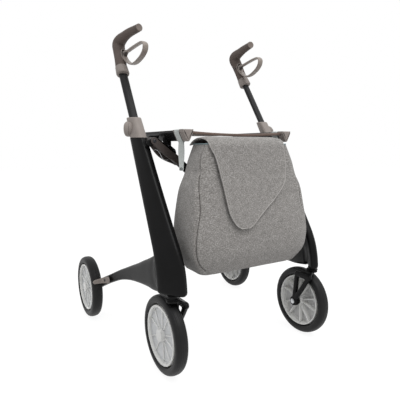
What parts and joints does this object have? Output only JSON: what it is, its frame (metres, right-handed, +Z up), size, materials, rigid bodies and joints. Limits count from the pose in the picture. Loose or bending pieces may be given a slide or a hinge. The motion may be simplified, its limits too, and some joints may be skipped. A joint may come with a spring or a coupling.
{
  "type": "rollator",
  "caption": "Folding wheeled walking frame with hoop-shaped side legs, bent hand grips with loop brake levers, a sling seat and a felt bag with a flap under its front edge",
  "frame": {"origin": "on the floor, midway between the wheels on both sides and between the front and rear tyres", "axes": "+Z up, the rollator faces -Y, and the user's left side is +X"},
  "size_m": [0.6264, 0.6508, 0.9061],
  "materials": {
    "frame_shell": "satin black moulded shell",
    "black_metal": "satin black anodised",
    "taupe_shell": "fine satin, warm grey",
    "grip": "smooth matt, brown grey",
    "link_metal": "satin, dark brown grey",
    "bright_steel": "bright",
    "dark_steel": "dark plated",
    "rim": "smooth, off-white",
    "tyre": "matt black with fine tread lines",
    "seat_cloth": "woven, dark brown",
    "bag_felt": "felt, warm grey",
    "strap": "pale grey webbing"
  },
  "bodies": {
    "frame_right": {"side_frame_right": "frame_shell", "leg_collar_right": "taupe_shell", "head_washer_right": "frame_shell", "strut_foot_bolt_right": "bright_steel", "link_bolt_right": "bright_steel", "rear_axle_right": "bright_steel", "brake_shoe_screw_right": "dark_steel"},
    "strut_rear": {"cross_strut_rear": "black_metal", "cross_pivot_bolt": "bright_steel"},
    "strut_front": {"cross_strut_front": "black_metal"},
    "frame_left": {"side_frame_left": "frame_shell", "leg_collar_left": "taupe_shell", "head_washer_left": "frame_shell", "strut_foot_bolt_left": "bright_steel", "link_bolt_left": "bright_steel", "rear_axle_left": "bright_steel", "brake_shoe_screw_left": "dark_steel"},
    "rail_right": {"seat_rail_right": "black_metal", "rail_end_cap_right": "taupe_shell", "bag_strap_right": "strap", "seat_sling": "seat_cloth", "bag_body": "bag_felt", "bag_flap": "bag_felt"},
    "rail_left": {"seat_rail_left": "black_metal", "rail_end_cap_left": "taupe_shell", "bag_strap_left": "strap"},
    "link_left": {"folding_link_left": "link_metal", "latch_arm_left": "frame_shell"},
    "handle_left": {"handle_tube_left": "black_metal", "grip_band_left": "taupe_shell", "grip_left": "grip", "grip_cap_left": "taupe_shell", "brake_lever_pin_left": "dark_steel"},
    "lever_left": {"brake_lever_left": "taupe_shell"},
    "shoe_left": {"brake_shoe_left": "taupe_shell"},
    "knob_left": {"height_knob_left": "taupe_shell"},
    "caster_left": {"fork_left": "frame_shell", "front_axle_left": "bright_steel"},
    "front_wheel_left": {"front_tyre_left": "tyre", "front_rim_left": "rim"},
    "rear_wheel_left": {"rear_tyre_left": "tyre", "rear_rim_left": "rim"},
    "link_right": {"folding_link_right": "link_metal", "latch_arm_right": "frame_shell"},
    "handle_right": {"handle_tube_right": "black_metal", "grip_band_right": "taupe_shell", "grip_right": "grip", "grip_cap_right": "taupe_shell", "brake_lever_pin_right": "dark_steel"},
    "lever_right": {"brake_lever_right": "taupe_shell"},
    "shoe_right": {"brake_shoe_right": "taupe_shell"},
    "knob_right": {"height_knob_right": "taupe_shell"},
    "caster_right": {"fork_right": "frame_shell", "front_axle_right": "bright_steel"},
    "front_wheel_right": {"front_tyre_right": "tyre", "front_rim_right": "rim"},
    "rear_wheel_right": {"rear_tyre_right": "tyre", "rear_rim_right": "rim"}
  },
  "joints": [
    {"name": "fold", "type": "hinge", "parent": "frame_right", "child": "strut_rear", "pos_m": [-0.205, -0.105, 0.241], "axis": [0, -1, 0], "range_deg": [0, 39.67], "deforming": ["seat_sling", "bag_body", "bag_flap"]},
    {"name": "cross_turn", "type": "hinge", "parent": "strut_rear", "child": "strut_front", "pos_m": [0, -0.105, 0.415], "axis": [0, -1, 0], "range_deg": [-79.44, 0]},
    {"name": "frame_left_turn", "type": "hinge", "parent": "strut_front", "child": "frame_left", "pos_m": [0.205, -0.105, 0.241], "axis": [0, -1, 0], "range_deg": [0, 39.77]},
    {"name": "rail_right_turn", "type": "hinge", "parent": "strut_front", "child": "rail_right", "pos_m": [-0.16, -0.105, 0.5508], "axis": [0, -1, 0], "range_deg": [0, 39.77]},
    {"name": "rail_left_turn", "type": "hinge", "parent": "strut_rear", "child": "rail_left", "pos_m": [0.16, -0.105, 0.5508], "axis": [0, -1, 0], "range_deg": [-39.77, 0]},
    {"name": "link_right_turn", "type": "hinge", "parent": "frame_right", "child": "link_right", "pos_m": [-0.2055, -0.105, 0.581], "axis": [0, -1, 0], "range_deg": [0, 116]},
    {"name": "link_left_turn", "type": "hinge", "parent": "frame_left", "child": "link_left", "pos_m": [0.2055, -0.105, 0.581], "axis": [0, -1, 0], "range_deg": [-116, 0]},
    {"name": "handle_left_slide", "type": "slide", "parent": "frame_left", "child": "handle_left", "axis": [-0.0283, 0.5561, 0.8307], "range_m": [-0.09, 0.05]},
    {"name": "lever_left_squeeze", "type": "hinge", "parent": "handle_left", "child": "lever_left", "pos_m": [0.2103, 0.0908, 0.834], "axis": [-0.9952, 0.0976, 0], "range_deg": [0, 12], "stiffness_Nm_per_rad": 2, "springref_deg": -11.46},
    {"name": "shoe_left_slide", "type": "slide", "parent": "frame_left", "child": "shoe_left", "axis": [0, 0.9135, -0.4067], "range_m": [0, 0.0043]},
    {"name": "knob_left_turn", "type": "hinge", "parent": "frame_left", "child": "knob_left", "pos_m": [0.22621, -0.04761, 0.61352], "axis": [0.809, 0.5878, 0], "range_deg": [0, 180]},
    {"name": "caster_left_swivel", "type": "hinge", "parent": "frame_left", "child": "caster_left", "pos_m": [0.2322, -0.2663, 0.2], "axis": [0, 0, 1], "continuous": true},
    {"name": "front_wheel_left_roll", "type": "hinge", "parent": "caster_left", "child": "front_wheel_left", "pos_m": [0.2329, -0.2254, 0.1], "axis": [1, 0, 0], "continuous": true},
    {"name": "rear_wheel_left_roll", "type": "hinge", "parent": "frame_left", "child": "rear_wheel_left", "pos_m": [0.2945, 0.2254, 0.1], "axis": [1, 0, 0], "continuous": true},
    {"name": "handle_right_slide", "type": "slide", "parent": "frame_right", "child": "handle_right", "axis": [0.0283, 0.5561, 0.8307], "range_m": [-0.09, 0.05]},
    {"name": "lever_right_squeeze", "type": "hinge", "parent": "handle_right", "child": "lever_right", "pos_m": [-0.2103, 0.0908, 0.834], "axis": [-0.9952, -0.0976, 0], "range_deg": [0, 12], "stiffness_Nm_per_rad": 2, "springref_deg": -11.46},
    {"name": "shoe_right_slide", "type": "slide", "parent": "frame_right", "child": "shoe_right", "axis": [0, 0.9135, -0.4067], "range_m": [0, 0.0043]},
    {"name": "knob_right_turn", "type": "hinge", "parent": "frame_right", "child": "knob_right", "pos_m": [-0.22621, -0.04761, 0.61352], "axis": [-0.809, 0.5878, 0], "range_deg": [0, 180]},
    {"name": "caster_right_swivel", "type": "hinge", "parent": "frame_right", "child": "caster_right", "pos_m": [-0.2322, -0.2663, 0.2], "axis": [0, 0, 1], "continuous": true},
    {"name": "front_wheel_right_roll", "type": "hinge", "parent": "caster_right", "child": "front_wheel_right", "pos_m": [-0.2329, -0.2254, 0.1], "axis": [1, 0, 0], "continuous": true},
    {"name": "rear_wheel_right_roll", "type": "hinge", "parent": "frame_right", "child": "rear_wheel_right", "pos_m": [-0.2945, 0.2254, 0.1], "axis": [1, 0, 0], "continuous": true}
  ],
  "couplings": [
    {"joint": "cross_turn", "follows": "fold", "ratio": -2},
    {"joint": "frame_left_turn", "follows": "fold", "ratio": 1},
    {"joint": "rail_right_turn", "follows": "fold", "ratio": 1},
    {"joint": "rail_left_turn", "follows": "fold", "ratio": -1},
    {"joint": "link_right_turn", "follows": "fold", "ratio": 2.919},
    {"joint": "link_left_turn", "follows": "fold", "ratio": -2.919},
    {"joint": "shoe_left_slide", "follows": "lever_left_squeeze", "m_per_rad": 0.020054},
    {"joint": "shoe_right_slide", "follows": "lever_right_squeeze", "m_per_rad": 0.020054}
  ]
}
